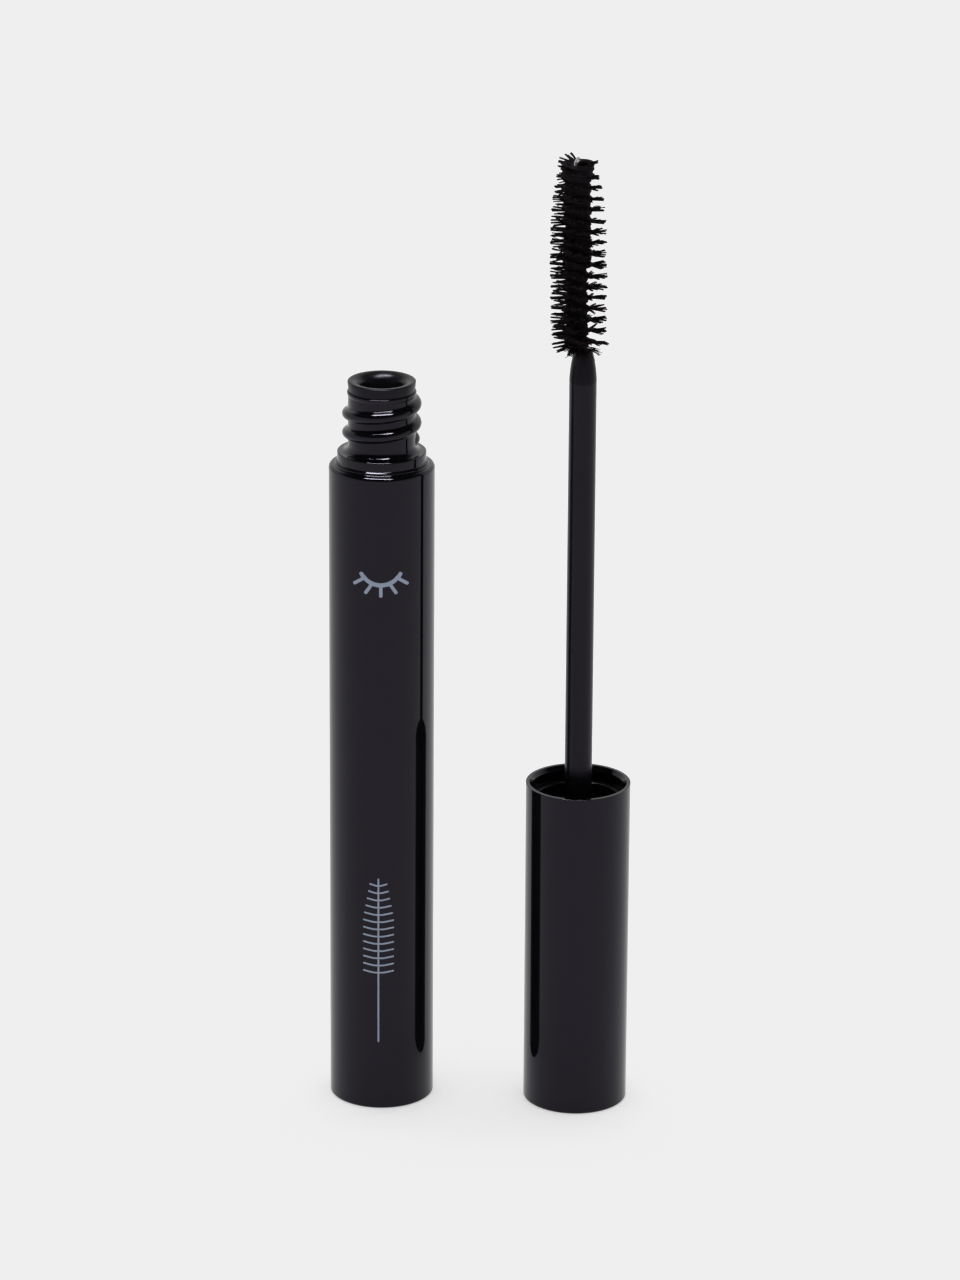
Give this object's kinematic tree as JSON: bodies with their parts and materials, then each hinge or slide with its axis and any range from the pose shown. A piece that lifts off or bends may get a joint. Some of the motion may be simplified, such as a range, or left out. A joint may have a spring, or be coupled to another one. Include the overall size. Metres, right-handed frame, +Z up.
{
  "type": "mascara tube",
  "caption": "Round black mascara tube, opened: a glossy screw-neck bottle with a wiper in its mouth, and its cap standing inverted beside it with the wand and bristle brush up.",
  "frame": {"origin": "on the surface the set stands on, at the bottom centre of the whole set's box, midway between the axes of the bottle and the applicator", "axes": "+Z up along both axes; +X from the bottle to the applicator; the printed front faces -Y"},
  "size_m": [0.0432, 0.0166, 0.1414],
  "materials": {
    "gloss_black": "high gloss moulded black plastic",
    "bottle_black": "gloss moulded black plastic",
    "wiper_black": "smooth soft black elastomer",
    "mascara_paste": "thick black cosmetic paste",
    "label_grey": "satin blue-grey film and print",
    "washer_grey": "matt foam sealing washer",
    "inner_cap_black": "satin moulded black plastic",
    "rod_black": "satin moulded black plastic",
    "wire_steel": "bare twisted steel wire",
    "bristle_black": "fine black nylon fibre"
  },
  "bodies": {
    "bottle": {"outer_sleeve": "gloss_black", "inner_bottle": "bottle_black", "wiper": "wiper_black", "mascara_fill": "mascara_paste", "base_label": "label_grey"},
    "washer": {"sealing_washer": "washer_grey"},
    "applicator": {"cap_shell": "gloss_black", "inner_cap": "inner_cap_black", "wand_rod": "rod_black", "brush_wire": "wire_steel", "bristles": "bristle_black"}
  },
  "joints": [
    {"name": "applicator_pull", "type": "slide", "parent": "bottle", "child": "washer", "axis": [0, 0, 1], "range_m": [0, 0.105]},
    {"name": "cap_turn", "type": "hinge", "parent": "washer", "child": "applicator", "pos_m": [0.01408, -0.00082, 0], "axis": [0, 0, 1], "range_deg": [0, 790]}
  ]
}
